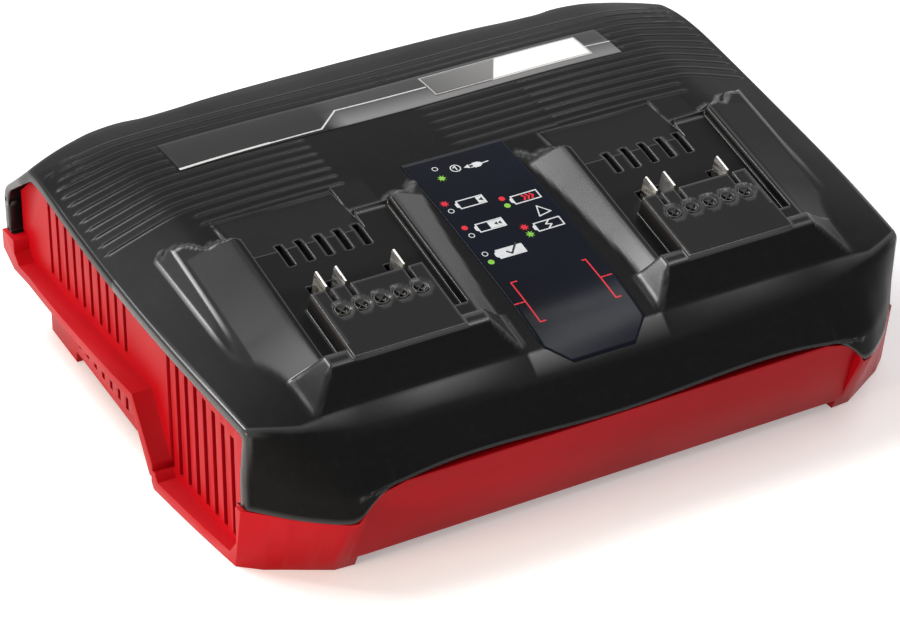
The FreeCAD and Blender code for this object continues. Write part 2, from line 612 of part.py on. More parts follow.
def build_nodes():
    cover = cover_bosses(top_cover_shape())
    film = on_surface(film_points(), 0, dim("film_thick"))
    strip = on_surface(strip_points(), 0, dim("strip_thick"))
    badge = on_surface(badge_points(), dim("strip_thick"), dim("strip_thick") + dim("badge_thick"))
    shaped_node("top_cover", cover.cut(Part.makeCompound(led_holes())))
    shaped_node("base_tub", base_tub_shape())
    shaped_node("display_film", film)
    shaped_node("title_strip", strip)
    shaped_node("badge_plate", badge)
    top = dim("board_z") + dim("board_thick")
    for side, word in ((-1, "left"), (1, "right")):
        shaped_node("contact_block_" + word, at_dock(contact_block_shape(), side))
        for offset, role in zip(blade_offsets, ("plus", "sense", "minus")):
            shaped_node("blade_%s_%s" % (role, word), at_dock(blade_shape(offset), side))
        shaped_node("dock_leads_" + word, dock_leads(side))
        shaped_node("transformer_core_" + word, transformer_core(side))
        shaped_node("transformer_winding_" + word, transformer_winding(side))
        shaped_node("heatsink_" + word, heatsink_shape(side))
    plate_body("main_board", "board_long", "board_deep", "board_thick", level(0, dim("board_y"), dim("board_z")),
               [(x, y - dim("board_y")) for x, y in board_screw_places], "board_hole_r")
    tilt = FreeCAD.Placement(V(0, dim("dock_y"), dim("dock_z")), dock_placement(0).Rotation)
    led_place = tilt.multiply(level(0, dim("led_board_y"), dim("led_board_drop")))
    plate_body("led_board", "led_board_long", "led_board_deep", "board_thick", led_place)
    lenses = [tilt.multiply(level(x, y, dim("led_board_drop") + dim("board_thick"))) for x, y in led_places]
    parts = []
    for i, place in enumerate(lenses):
        lens = bound("Part::Cylinder", "lens_%d" % i, (0, 0, 0), Radius="led_r", Height="led_high")
        lens.Placement = place
        parts.append(lens)
    grouped("status_lenses", parts)
    add_node(bound("Part::Cylinder", "bulk_capacitor", (0, 40, top), Radius="bulk_cap_r", Height="bulk_cap_high"),
             "bulk_capacitor")
    caps = [bound("Part::Cylinder", "output_cap_%d" % i, (x, y, top), Radius="small_cap_r", Height="small_cap_high")
            for i, (x, y) in enumerate([(-98, 20), (-98, 34), (98, 20), (98, 34)])]
    grouped("output_capacitors", caps)
    chips = [bound("Part::Box", "transistor_%d" % i, (x, -34.6, top + 8), Length="chip_wide", Width="chip_thick",
                   Height="chip_high") for i, x in enumerate((-70, -46, 34, 58))]
    grouped("power_transistors", chips)
    shaped_node("line_choke", choke_shape())
    fuse = bound("Part::Cylinder", "mains_fuse", (-42, 62, top + 4.2), Radius="fuse_r", Height="fuse_long")
    fuse.Placement = FreeCAD.Placement(V(-42, 62, top + 4.2), FreeCAD.Rotation(V(0, 1, 0), 90))
    add_node(fuse, "mains_fuse")
    clips = [bound("Part::Box", "fuse_clip_%d" % i, (x, 58.5, top), Length="clip_thick", Width="clip_wide",
                   Height="clip_high") for i, x in enumerate((-43.6, -21.8))]
    grouped("fuse_clips", clips)
    add_node(bound("Part::Box", "mains_terminal", (-8, 65.0, top), Length="terminal_long", Width="terminal_deep",
                   Height="terminal_high"), "mains_terminal")
    gland = bound("Part::Cylinder", "gland_outer", (0, 0, 0), Radius="gland_r", Height="gland_long")
    collar = bound("Part::Cylinder", "gland_collar", (0, 0, 0), Radius="collar_r", Height="collar_long")
    bore = bound("Part::Cylinder", "gland_bore", (0, 0, 0), Radius="gland_bore_r", Height="gland_cut")
    turn = FreeCAD.Rotation(V(1, 0, 0), -90)
    gland.Placement = FreeCAD.Placement(V(0, 113.4 - dim("gland_long"), dim("gland_z")), turn)
    collar.Placement = FreeCAD.Placement(V(0, dim("collar_y"), dim("gland_z")), turn)
    bore.Placement = FreeCAD.Placement(V(0, 90, dim("gland_z")), turn)
    whole = doc.addObject("Part::MultiFuse", "gland_solid")
    whole.Shapes = [gland, collar]
    cut_node("inlet_gland", whole, [bore])
    shaped_node("mains_leads", mains_leads())
    screws_node("housing_screws", "housing_screw_long", housing_screw_places,
                dim("floor_z") + dim("screw_sink") - dim("screw_head_high"))
    shaped_node("board_screws", board_screws_shape())


def board_screws_shape():
    """Small pan-head screws through the board into the low posts."""
    top, r = dim("board_z") + dim("board_thick"), dim("board_screw_r")
    screws = []
    for x, y in board_screw_places:
        shank = Part.makeCylinder(r, dim("board_screw_long"), V(x, y, top - dim("board_screw_long")))
        screws.append(shank.fuse(Part.makeCylinder(2.8, 1.8, V(x, y, top))))
    return Part.makeCompound(screws)


led_places = [(-16.5, 70.0), (-16.5, 62.0), (-16.5, 48.0), (-16.5, 41.0), (-16.5, 27.0), (-16.5, 20.0), (4.0, 48.0),
              (4.0, 41.0), (4.0, 27.0), (4.0, 20.0)]


def led_holes():
    """Holes in the cover for the lenses under the film."""
    tilt = FreeCAD.Placement(V(0, dim("dock_y"), dim("dock_z")), dock_placement(0).Rotation)
    holes = []
    for x, y in led_places:
        hole = Part.makeCylinder(dim("led_r") + 0.3, 20, V(x, y, -26))
        hole.Placement = tilt.multiply(hole.Placement)
        holes.append(hole)
    return holes


def check_and_write():
    doc.recompute()
    bad = [o.Name for o in doc.Objects if "Invalid" in o.State or "Error" in o.State]
    if bad:
        raise RuntimeError("failed features: %s" % bad)
    os.makedirs("parts", exist_ok=True)
    for node in nodes:
        shape = node.Shape
        if shape.isNull() or not shape.isValid() or not shape.Solids:
            raise RuntimeError("bad shape: %s" % node.Label)
        print("%-26s solids %2d volume %9.1f mm3" % (node.Label, len(shape.Solids), shape.Volume))
        shape.exportStep("parts/%s.step" % node.Label)


build_nodes()
check_and_write()
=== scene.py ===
import math

import bmesh
import bpy
import numpy as np
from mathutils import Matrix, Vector


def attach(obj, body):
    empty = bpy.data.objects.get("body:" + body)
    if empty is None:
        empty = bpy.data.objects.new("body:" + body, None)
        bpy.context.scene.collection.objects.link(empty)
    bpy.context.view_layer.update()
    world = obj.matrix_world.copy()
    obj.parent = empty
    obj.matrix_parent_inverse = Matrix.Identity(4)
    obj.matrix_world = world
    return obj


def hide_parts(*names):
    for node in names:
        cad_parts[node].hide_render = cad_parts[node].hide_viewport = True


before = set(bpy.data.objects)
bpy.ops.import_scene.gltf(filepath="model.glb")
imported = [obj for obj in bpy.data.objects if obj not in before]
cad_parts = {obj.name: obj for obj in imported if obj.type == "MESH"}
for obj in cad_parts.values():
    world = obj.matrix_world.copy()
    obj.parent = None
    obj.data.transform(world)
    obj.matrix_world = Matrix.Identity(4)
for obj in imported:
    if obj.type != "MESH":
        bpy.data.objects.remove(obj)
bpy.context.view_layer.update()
mm = 0.001


def readCurve(x, stations):
    # cubic through the stations; each slope is taken from the neighbours on both sides
    xs, ys = np.array(stations, float).T
    slopes = np.gradient(ys, xs)
    x = np.clip(x, xs[0], xs[-1])
    i = np.clip(np.searchsorted(xs, x) - 1, 0, len(xs) - 2)
    h = xs[i + 1] - xs[i]
    t = (x - xs[i]) / h
    return (ys[i] * (1 + 2 * t) * (1 - t) ** 2 + slopes[i] * h * t * (1 - t) ** 2
            + ys[i + 1] * t * t * (3 - 2 * t) + slopes[i + 1] * h * t * t * (t - 1))


def readLine(x, stations):
    # straight lines from station to station
    xs, ys = np.array(stations, float).T
    return np.interp(x, xs, ys)


def rise(x, low, high):
    # 0 below low, 1 above high, an S between them
    t = np.clip((x - low) / (high - low), 0, 1)
    return t * t * (3 - 2 * t)


def within(x, low, high, soft=0.8):
    # 1 between low and high, falling to 0 over the soft width at both sides
    return rise(x, low - soft / 2, low + soft / 2) * (1 - rise(x, high - soft / 2, high + soft / 2))


def softMin(a, b, radius):
    # the lower of two heights, the crease between them rounded
    h = np.clip(0.5 + (b - a) / (2 * radius), 0, 1)
    return b + (a - b) * h - radius * h * (1 - h)


def softMax(a, b, radius):
    # the higher of two heights, as the lower of their negatives
    return -softMin(-a, -b, radius)


def lines(low, high, step, edges, offsets=(-0.62, -0.4, -0.24, -0.08, 0.08, 0.24, 0.4, 0.62)):
    # an even row of positions, with extra ones at the offsets from each edge in place of those close to it
    even = np.linspace(low, high, int(round((high - low) / step)) + 1)
    edges = np.array(sorted(edges), float)
    far = np.min(np.abs(even[:, None] - edges[None, :]), axis=1) > max(offsets) + 0.15
    close = (edges[:, None] + np.array(offsets)[None, :]).ravel()
    even = np.concatenate([even[far], close[(close > low) & (close < high)], [low, high]])
    even = np.unique(np.round(even, 3))
    keep = np.concatenate([[True], np.diff(even) > 0.05])
    return even[keep]


def gridFaces(rows, columns, closed=False):
    # the four corners of every cell, where a corner's number is its row times columns plus its column
    i = np.arange(rows - 1)[:, None] * columns
    j = np.arange(columns if closed else columns - 1)[None, :]
    k = (j + 1) % columns
    return np.stack([i + j, i + k, i + columns + k, i + columns + j], -1).reshape(-1, 4)


def buildPiece(name, points, faces, finish, stands=(), smooth=True):
    # one object from points in millimetres and a list of faces
    mesh = bpy.data.meshes.new(name)
    flat = np.asarray(points, float).reshape(-1, 3) * mm
    mesh.from_pydata(flat.tolist(), [], [list(f) for f in faces])
    mesh.polygons.foreach_set("use_smooth", [smooth] * len(mesh.polygons))
    mesh.materials.append(finish)
    mesh.update()
    piece = bpy.data.objects.new(name, mesh)
    bpy.context.scene.collection.objects.link(piece)
    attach(piece, "root")
    if stands:
        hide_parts(*stands)
    return piece


class Field:
    # a shader socket that takes part in sums
    def __init__(self, tree, socket):
        self.tree, self.socket = tree, socket

    def sum(self, operation, first, second):
        node = self.tree.nodes.new("ShaderNodeMath")
        node.operation = operation
        for place, value in enumerate((first, second)):
            if isinstance(value, Field):
                self.tree.links.new(value.socket, node.inputs[place])
            else:
                node.inputs[place].default_value = value
        return Field(self.tree, node.outputs[0])

    def __add__(self, other):
        return self.sum("ADD", self, other)

    def __radd__(self, other):
        return self.sum("ADD", other, self)

    def __sub__(self, other):
        return self.sum("SUBTRACT", self, other)

    def __rsub__(self, other):
        return self.sum("SUBTRACT", other, self)

    def __mul__(self, other):
        return self.sum("MULTIPLY", self, other)

    def __rmul__(self, other):
        return self.sum("MULTIPLY", other, self)


class Finish:
    # one material: a Principled shader and the nodes that feed it
    def __init__(self, name, colour, roughness, **fixed):
        self.material = bpy.data.materials.new(name)
        self.material.use_nodes = True
        self.tree = self.material.node_tree
        self.shader = self.tree.nodes["Principled BSDF"]
        self.place = self.node("ShaderNodeTexCoord", out="Object")
        self.put("Base Color", (*colour, 1.0))
        self.put("Roughness", roughness)
        for socket, value in fixed.items():
            self.put(socket.replace("_", " "), value)

    def node(self, kind, settings=None, sockets=None, out=0):
        # any node: its settings first, then values or links for its sockets
        made = self.tree.nodes.new(kind)
        for key, value in (settings or {}).items():
            setattr(made, key, value)
        for key, value in (sockets or {}).items():
            if isinstance(value, Field):
                self.tree.links.new(value.socket, made.inputs[key])
            else:
                made.inputs[key].default_value = value
        return Field(self.tree, made.outputs[out])

    def put(self, socket, value):
        # a value or a link for one of the shader's own sockets
        if isinstance(value, Field):
            self.tree.links.new(value.socket, self.shader.inputs[socket])
        else:
            self.shader.inputs[socket].default_value = value

    def noise(self, scale, detail=3.0, rough=0.5):
        # a cloudy value around a half, with about as many clouds per metre as the scale says
        sockets = {"Vector": self.place, "Scale": scale, "Detail": detail, "Roughness": rough}
        return self.node("ShaderNodeTexNoise", {}, sockets)

    def spread(self, field, low, high, toLow=0.0, toHigh=1.0):
        # a value between low and high laid out evenly between toLow and toHigh
        sockets = {"Value": field, "From Min": low, "From Max": high, "To Min": toLow, "To Max": toHigh}
        return self.node("ShaderNodeMapRange", {}, sockets)

    def mix(self, factor, first, second):
        # two colours mixed; sockets 6 and 7 are the colour inputs of a Mix node, its output 2 the colour
        first, second = (c if isinstance(c, Field) else (*c, 1.0) for c in (first, second))
        return self.node("ShaderNodeMix", {"data_type": "RGBA"}, {0: factor, 6: first, 7: second}, 2)

    def axis(self, letter):
        # one coordinate of the place, in metres
        return self.node("ShaderNodeSeparateXYZ", {}, {0: self.place}, letter)

    def grain(self, height, strength, distance):
        # a tiny relief that follows the height
        sockets = {"Height": height, "Strength": strength, "Distance": distance}
        self.put("Normal", self.node("ShaderNodeBump", {}, sockets))


def mouldedBlack(name, colour, pale, roughness, grain, specular):
    # moulded plastic: fine pebble grain, slow mottling of the gloss and a breath of dust; the "shine"
    # attribute polishes the edges and the "tone" attribute turns the floors paler
    made = Finish(name, colour, roughness, Specular_IOR_Level=specular, Coat_Roughness=0.24)
    slow, fine, dust = made.noise(22.0, 4.0), made.noise(1500.0, 2.0), made.noise(260.0, 5.0, 0.65)
    shine = made.node("ShaderNodeAttribute", {"attribute_name": "shine"}, {}, 2)
    tone = made.node("ShaderNodeAttribute", {"attribute_name": "tone"}, {}, 2)
    made.put("Roughness", roughness + (slow - 0.5) * 0.22 + (fine - 0.5) * 0.12)
    dusty = tuple(c * 1.9 + 0.002 for c in colour)
    plain = made.mix(made.spread(dust, 0.52, 0.78, 0.0, 0.6), colour, dusty)
    made.put("Base Color", made.mix(tone, plain, pale))
    made.put("Coat Weight", shine * (0.75 + slow * 0.3))
    made.grain(fine + made.noise(700.0, 3.0) * 0.6, grain, 0.00012)
    return made.material


def mouldedRed(name, colour, deep):
    # satin plastic: a slow drift from the colour to a deeper one, and a fine grain
    made = Finish(name, colour, 0.36, Specular_IOR_Level=0.14)
    slow, fine = made.noise(18.0, 3.0), made.noise(1300.0, 2.0)
    made.put("Base Color", made.mix(made.spread(slow, 0.35, 0.7), colour, deep))
    made.put("Roughness", 0.3 + slow * 0.1 + fine * 0.1)
    made.grain(fine, 0.12, 0.0001)
    return made.material


def bareMetal(name, colour, roughness, scratch):
    # drawn metal: long fine scratches along Y and small tarnish spots
    made = Finish(name, colour, roughness, Metallic=1.0)
    long = made.node("ShaderNodeMapping", {}, {"Vector": made.place, "Scale": (2600.0, 160.0, 900.0)})
    streak = made.node("ShaderNodeTexNoise", {}, {"Vector": long, "Scale": 1.0, "Detail": 3.0})
    spots = made.spread(made.noise(320.0, 5.0, 0.7), 0.55, 0.75, 0.0, 0.7)
    made.put("Base Color", made.mix(spots, colour, tuple(c * 0.45 for c in colour)))
    made.put("Roughness", made.spread(streak, 0.3, 0.7, roughness - 0.08, roughness + 0.2))
    made.grain(streak, scratch, 0.00005)
    return made.material


def plainPart(name, colour, roughness, scale=400.0, depth=0.15, **fixed):
    # everyday inner part: cloudy colour, cloudy gloss and a light grain
    made = Finish(name, colour, roughness, **fixed)
    cloud, fine = made.noise(scale * 0.15, 3.0), made.noise(scale * 2.0, 2.0)
    shaded = tuple(c * 0.7 for c in colour)
    made.put("Base Color", made.mix(made.spread(cloud, 0.3, 0.7), colour, shaded))
    made.put("Roughness", roughness + (cloud - 0.5) * 0.2)
    made.grain(fine, depth, 0.0001)
    return made.material


coverBlack = mouldedBlack("coverBlack", colour=(0.0034, 0.0034, 0.0037), pale=(0.014, 0.0135, 0.014),
                          roughness=0.42, grain=0.3, specular=0.07)
ringBlack = plainPart("ringBlack", (0.01, 0.01, 0.01), 0.3, 900.0, 0.2, Specular_IOR_Level=0.6)
baseRed = mouldedRed("baseRed", colour=(0.42, 0.0015, 0.007), deep=(0.34, 0.001, 0.005))
bladeMetal = bareMetal("bladeMetal", (0.74, 0.73, 0.7), 0.34, 0.25)
print("materials ready")

# the cover's outlines, as stations along y for crown, rim and endX, and along x for all the others
cover = {
    "frontTopY": [(0, -104), (65, -102.4), (101, -101.0), (112, -98.9), (128, -93.6), (140, -87.2),
                  (150, -81)],
    "frontTopZ": [(0, 55.5), (60, 55.8), (101, 56.4), (112, 56.9), (128, 58.2), (140, 60.0), (150, 61.3)],
    "frontLowY": [(0, -113.4), (65, -113.3), (99, -113.0), (108, -112.4), (113, -110.8), (120, -105.8),
                  (128, -98.6), (134, -91.8), (139, -86.2), (150, -78)],
    "rearTopY": [(0, 104.7), (32, 103.8), (61, 101.8), (82, 99.2), (90, 99.2), (97, 101.2), (106, 101),
                 (120, 98), (134, 93), (142, 88.5), (150, 82)],
    "rearLowY": [(0, 113.6), (150, 113.6)],
    "splitZ": [(0, 39.7), (90, 39.7), (96, 38.6), (100, 36.0), (104, 32.4), (107, 28.6), (109.5, 27.0),
               (113, 26.9), (150, 26.9)],
    "crown": [(-106, 54.4), (-104, 55.6), (-93, 62.2), (-80.7, 66.6), (-46.8, 75.1), (-10.6, 82.8),
              (12.2, 86.3), (30, 88.3), (47.8, 89.6), (65, 90.2), (84, 88.4), (105, 84.4), (110, 83.2)],
    "rim": [(-106, 57.3), (-87, 60.2), (-62, 63.6), (-45, 66.0), (-9, 71.0), (18, 75.0), (47, 79.6),
            (62, 81.8), (76, 82.7), (88, 81.4), (105, 77.0)],
    "crownShare": [(0, 0.0), (96, 0.0), (106, 0.04), (112, 0.10), (120, 0.28), (128, 0.50), (134, 0.67),
                   (140, 0.85), (150, 1.15)],
    "endX": [(-120, 136.6), (-87, 139.5), (-45, 142.8), (32, 145.0), (62, 144.6), (90, 143.0),
             (120, 143.0)],
    "endStart": 124.0, "endMiddle": 141.0, "endLimit": 150.0, "recessX": 137.9, "bandWidth": 4.0,
    "topStart": -94.0, "topEnd": 94.0, "calmY": 60.0, "frontGap": 2.2, "rearGap": 2.6,
    "apexZ": 39.7, "hipZ": 62.0, "rearSplitZ": 44.0, "shoulderDrop": 0.4, "lipDepth": 2.4,
    "lipRadius": 0.5, "apexRadius": 2.2, "edgeRadius": 2.0, "shoulderRadius": 3.0, "hipRadius": 5.0,
    "wallLean": 0.85, "crownLean": 1.03,
}
# a dock in its own leaning frame: x from its middle line, y up the slope from the front of its plateau,
# z above the plateau
dock = {
    "spacing": 70.5, "tilt": math.radians(14.4), "y": -83.0, "z": 75.4,
    "plateauHalf": 23.2, "plateauStart": 0.3, "plateauLength": 34.8, "railHalf": 31.0, "topHalf": 32.3,
    "footZ": -9.7, "railZ": -3.9, "browZ": -0.9, "browEnd": (5.9, 6.9),
    "outerReach": [(-13, 43.2), (0, 44.4), (30, 48.4), (60, 49.6)],
    "innerReach": [(-13, 41.6), (0, 42.2), (30, 44.4), (60, 45.4)],
    "rearWallY": [(31, 73.4), (34, 75.6), (38, 77.0), (42.5, 75.2), (47, 80.5)],
    "frontStart": 0.6, "frontRise": 0.706, "rearFall": 1.6,
    "wellZ": -8.0, "wellEnd": (74.0, 75.2), "channelLeft": 7.0, "channelRight": 14.0,
    "rampLeft": -33.0, "rampRight": 17.0, "rampStart": 66.0, "rampEnd": 93.6, "rampFall": 0.2,
    "blades": (-16.0, -8.0, 16.0), "slotFloor": -13.0,
    "vents": (-16.0, -8.0, 0.0, 8.0, 16.0), "ventY": 23.3, "ventRadius": 2.9, "ventDepth": 1.3,
    "longVentX": (-2.9, -0.35), "longVentY": (57.5, 69.5), "longVentDepth": 5.0,
}
ribs = {
    "first": 11.6, "pitch": 5.4, "count": 14, "height": 0.5, "width": 0.42, "farX": 140.3,
    "dockSide": 47.4, "docksEnd": 47.0, "stripSide": 99.5, "stripEnd": 66.0,
    "firstFarX": 106.0, "firstEnd": 20.0, "lastStart": 78.0, "lastShare": 0.6, "faintShare": 0.35,
}
tiltCos, tiltSin = math.cos(dock["tilt"]), math.sin(dock["tilt"])


def crownTop(x, y):
    # the middle crown, sinking to the rim toward each end
    middle = readCurve(y, cover["crown"])
    return middle - readCurve(np.abs(x), cover["crownShare"]) * (middle - readCurve(y, cover["rim"]))


def toDock(y, z):
    # y and z moved to the dock's origin and turned back by its tilt
    y, z = y - dock["y"], z - dock["z"]
    return tiltCos * y + tiltSin * z, -tiltSin * y + tiltCos * z


def fromDock(across, up):
    # the other way: turned by the tilt, then moved
    return (tiltCos * across - tiltSin * up + dock["y"], tiltSin * across + tiltCos * up + dock["z"])


def dockHeight(dx, y, ground, side):
    # height over the dock's level: the higher of the ground and a block, whose front, rear and flanks slope
    # down as straight walls; a well is cut into it and a plateau left in the well
    out = dx * side
    foot, rail, brow, well = dock["footZ"], dock["railZ"], dock["browZ"], dock["wellZ"]
    top = rail + (brow - rail) * (1 - rise(y, *dock["browEnd"]))
    outerReach, innerReach = readLine(y, dock["outerReach"]), readLine(y, dock["innerReach"])
    outer = foot + (top - foot) * (outerReach - out) / (outerReach - dock["topHalf"])
    inner = foot + (top - foot) * (innerReach + out) / (innerReach - dock["topHalf"])
    frontWall = brow + dock["frontRise"] * (y - dock["frontStart"])
    rearWall = rail - dock["rearFall"] * (y - readLine(np.abs(dx), dock["rearWallY"]))
    flanks = softMin(outer, inner, 0.5)
    block = softMin(softMin(flanks, top, 0.4), softMin(frontWall, top, 0.4), 0.8)
    block = softMin(block, rearWall, 0.4)
    height = softMax(ground, block, 0.4)
    # ramp that runs from the well up to the ribbed zone
    left, right, start, end = dock["rampLeft"], dock["rampRight"], dock["rampStart"], dock["rampEnd"]
    ramp = well - dock["rampFall"] * (y - start)
    behindRail = 1 - (dx < -31.2) * (y < 75.0)
    onRamp = within(dx, left, right, 0.5) * within(y, start, end, 0.5) * behindRail
    height = height + (ramp - height) * onRamp
    # well and its two side channels, then the plateau between them
    floor = np.where((y > start) & (dx < right), ramp, well)
    channel = np.where(dx < 0, dock["channelLeft"], dock["channelRight"])
    inWell = within(dx, -dock["railHalf"], dock["railHalf"], 0.5) * rise(y, channel - 0.3, channel + 0.3)
    inWell = inWell * (1 - rise(y, *dock["wellEnd"]))
    height = height + (floor - height) * inWell
    onPlateau = within(dx, -dock["plateauHalf"], dock["plateauHalf"], 0.5)
    onPlateau = onPlateau * within(y, dock["plateauStart"], dock["plateauLength"], 0.5)
    height = height + (0.0 - height) * onPlateau
    # blade slots, round vents and the long vents at the back of the well
    for offset in dock["blades"]:
        slot = within(dx, offset - 0.95, offset + 0.95, 0.3) * within(y, 28.4, 45.2, 0.4)
        wide = within(dx, offset - 2.4, offset + 0.5, 0.3) * within(y, 34.9, 45.2, 0.4)
        height = height + (dock["slotFloor"] - height) * np.maximum(slot, wide)
    radius, (low, high) = dock["ventRadius"], dock["longVentX"]
    for offset in dock["vents"]:
        away = np.hypot(dx - offset, y - dock["ventY"])
        height = height - dock["ventDepth"] * (1 - rise(away, radius - 0.25, radius + 0.25))
        slot = within(dx, offset + low, offset + high, 0.4) * within(y, *dock["longVentY"], 0.5)
        height = height - dock["longVentDepth"] * slot
    return height


def ribHeight(x, y):
    # a row of thin ridges, each a bell curve over y; they stop short of the docks and of the strip
    made = np.zeros_like(x)
    for k in range(ribs["count"]):
        at = ribs["first"] + ribs["pitch"] * k
        ridge = ribs["height"] * np.exp(-((y - at) / ribs["width"]) ** 2)
        besideDocks = at < ribs["docksEnd"]
        low = ribs["dockSide"] if besideDocks else ribs["stripSide"] if at < ribs["stripEnd"] else 0.0
        far = ribs["farX"] if at > ribs["firstEnd"] else ribs["firstFarX"]
        share = 1.0 if at < ribs["lastStart"] else ribs["lastShare"]
        made = made + ridge * within(np.abs(x), low, far, 2.0) * share
        if besideDocks:
            made = made + ribs["faintShare"] * ridge * within(x, 4.0, ribs["dockSide"], 6.0)
    return made


def coverTop(x, y):
    # crown with ribs, then each dock worked out in its own leaning frame
    z = crownTop(x, y) + ribHeight(x, y)
    across, up = toDock(y, z)
    for side in (-1, 1):
        dx = x - side * dock["spacing"]
        near = (np.abs(dx) < 56) & (across < 100)
        up = np.where(near, dockHeight(dx, across, up, side), up)
    return fromDock(across, up)


def roundCorner(before, corner, after, cut, count):
    # quadratic curve (1-t)^2 start + 2t(1-t) corner + t^2 end; both ends lie the cut away from the corner
    def cutPoint(way):
        length = np.maximum(np.linalg.norm(way, axis=-1, keepdims=True), 1e-6)
        return corner + way * np.minimum(0.45, cut / length)

    start, end = cutPoint(before - corner), cutPoint(after - corner)
    t = np.linspace(0, 1, count)[:, None, None]
    return (1 - t) ** 2 * start + 2 * t * (1 - t) * corner + t * t * end


def span(a, b, count):
    # even points on the line from a to b, without its ends
    t = ((np.arange(count) + 1.0) / (count + 1))[:, None, None]
    return a + (b - a) * t


# where the grid has its lines: close together at the edges of the docks, the slots and the ribs
net = {
    "step": 1.3, "ribStep": 1.8, "dockLeft": -53.0, "dockRight": 51.0, "ribsStart": 9.9,
    "dockY": (0.35, 7.0, 14.0, 34.8, 28.4, 45.4, 57.5, 69.5, 66.0, 74.8, 93.6),
    "dockX": (-33.0, -32.3, -31.0, -23.2, 17.0, 23.2, 31.0, 32.3),
    "bladeX": (-2.4, -0.95, 0.95),
    "ribOffsets": (-0.9, -0.5, -0.25, 0, 0.25, 0.5, 0.9),
    "dockOffsets": (-0.45, -0.22, 0.0, 0.22, 0.45),
}
crownYs = np.linspace(-106, 110, 900)
crownAcross = toDock(crownYs, crownTop(0 * crownYs, crownYs))[0]
frontLines = np.interp(lines(-19.0, 97.0, net["step"], net["dockY"]), crownAcross, crownYs)
frontLines = frontLines[(frontLines > cover["topStart"]) & (frontLines < net["ribsStart"] - 0.4)]
ribYs = [ribs["first"] + ribs["pitch"] * k for k in range(ribs["count"])]
backLines = lines(net["ribsStart"], cover["topEnd"], net["ribStep"], ribYs, net["ribOffsets"])
topLines = np.concatenate([[cover["topStart"]], frontLines, backLines])
dockEdges = list(net["dockX"])
dockEdges += [v + s for v in dock["vents"] for s in dock["longVentX"]]
dockEdges += [b + s for b in dock["blades"] for s in net["bladeX"]]


def section(x, inset):
    # rows of points across the cover at each x, drawn in by the inset: front lip, front wall, front edge,
    # top, rear edge, rear wall, rear lip
    ax = np.abs(x)
    lean, sink = inset * cover["wallLean"], inset * cover["crownLean"]
    low, top = readCurve(ax, cover["frontLowY"]) + inset, readCurve(ax, cover["frontTopY"]) + lean
    rear, back = readCurve(ax, cover["rearTopY"]) - lean, readCurve(ax, cover["rearLowY"]) - inset
    split = readCurve(ax, cover["splitZ"])

    def point(y, z):
        return np.stack([y + 0 * x, z + 0 * x], -1)

    lipIn, lip = point(low + cover["lipDepth"], split), point(low, split)
    apex = point(low, np.maximum(split + 1.0, cover["apexZ"]))
    edge = point(top, readCurve(ax, cover["frontTopZ"]) - lean)
    yNear = np.maximum(cover["topStart"], top + cover["frontGap"])
    yFar = np.minimum(cover["topEnd"], rear - cover["rearGap"])
    lead, tail = point(yNear, crownTop(x, yNear) - sink), point(yFar, crownTop(x, yFar) - sink)
    shoulder = point(rear, crownTop(x, rear) - cover["shoulderDrop"] - lean)
    hip, foot = point(back, cover["hipZ"]), point(back, cover["rearSplitZ"])
    footIn = point(back - cover["lipDepth"], cover["rearSplitZ"])
    # the lines over the top, pushed together before and behind the calm middle so that they fit its length
    mid, calm, start, end = topLines[:, None], cover["calmY"], cover["topStart"], cover["topEnd"]
    ys = np.where(mid < -calm, yNear + (mid - start) / (-calm - start) * (-calm - yNear), mid)
    ys = np.where(mid > calm, calm + (mid - calm) / (end - calm) * (yFar - calm), ys)
    wide = np.broadcast_to(x, ys.shape)
    if inset == 0:
        ys, zs = coverTop(wide, ys)
    else:
        zs = crownTop(wide, ys) - sink
    return np.concatenate([
        lipIn[None], roundCorner(lipIn, lip, apex, cover["lipRadius"], 4), span(lip, apex, 4),
        roundCorner(lip, apex, edge, cover["apexRadius"], 6), span(apex, edge, 5),
        roundCorner(apex, edge, lead, cover["edgeRadius"], 8), np.stack([ys, zs], -1),
        roundCorner(tail, shoulder, hip, cover["shoulderRadius"], 8), span(shoulder, hip, 5),
        roundCorner(shoulder, hip, foot, cover["hipRadius"], 6), span(hip, foot, 4),
        roundCorner(hip, foot, footIn, cover["lipRadius"], 4), footIn[None]], 0)


def sampleRows(fan, rows, x):
    # every row read at its own x, from a fine fan of sections
    place = np.clip((x - fan[0]) / (fan[1] - fan[0]), 0, len(fan) - 1.001)
    i = place.astype(int)
    t = (place - i)[:, None]
    r = np.arange(len(x))
    return rows[r, i] * (1 - t) + rows[r, i + 1] * t


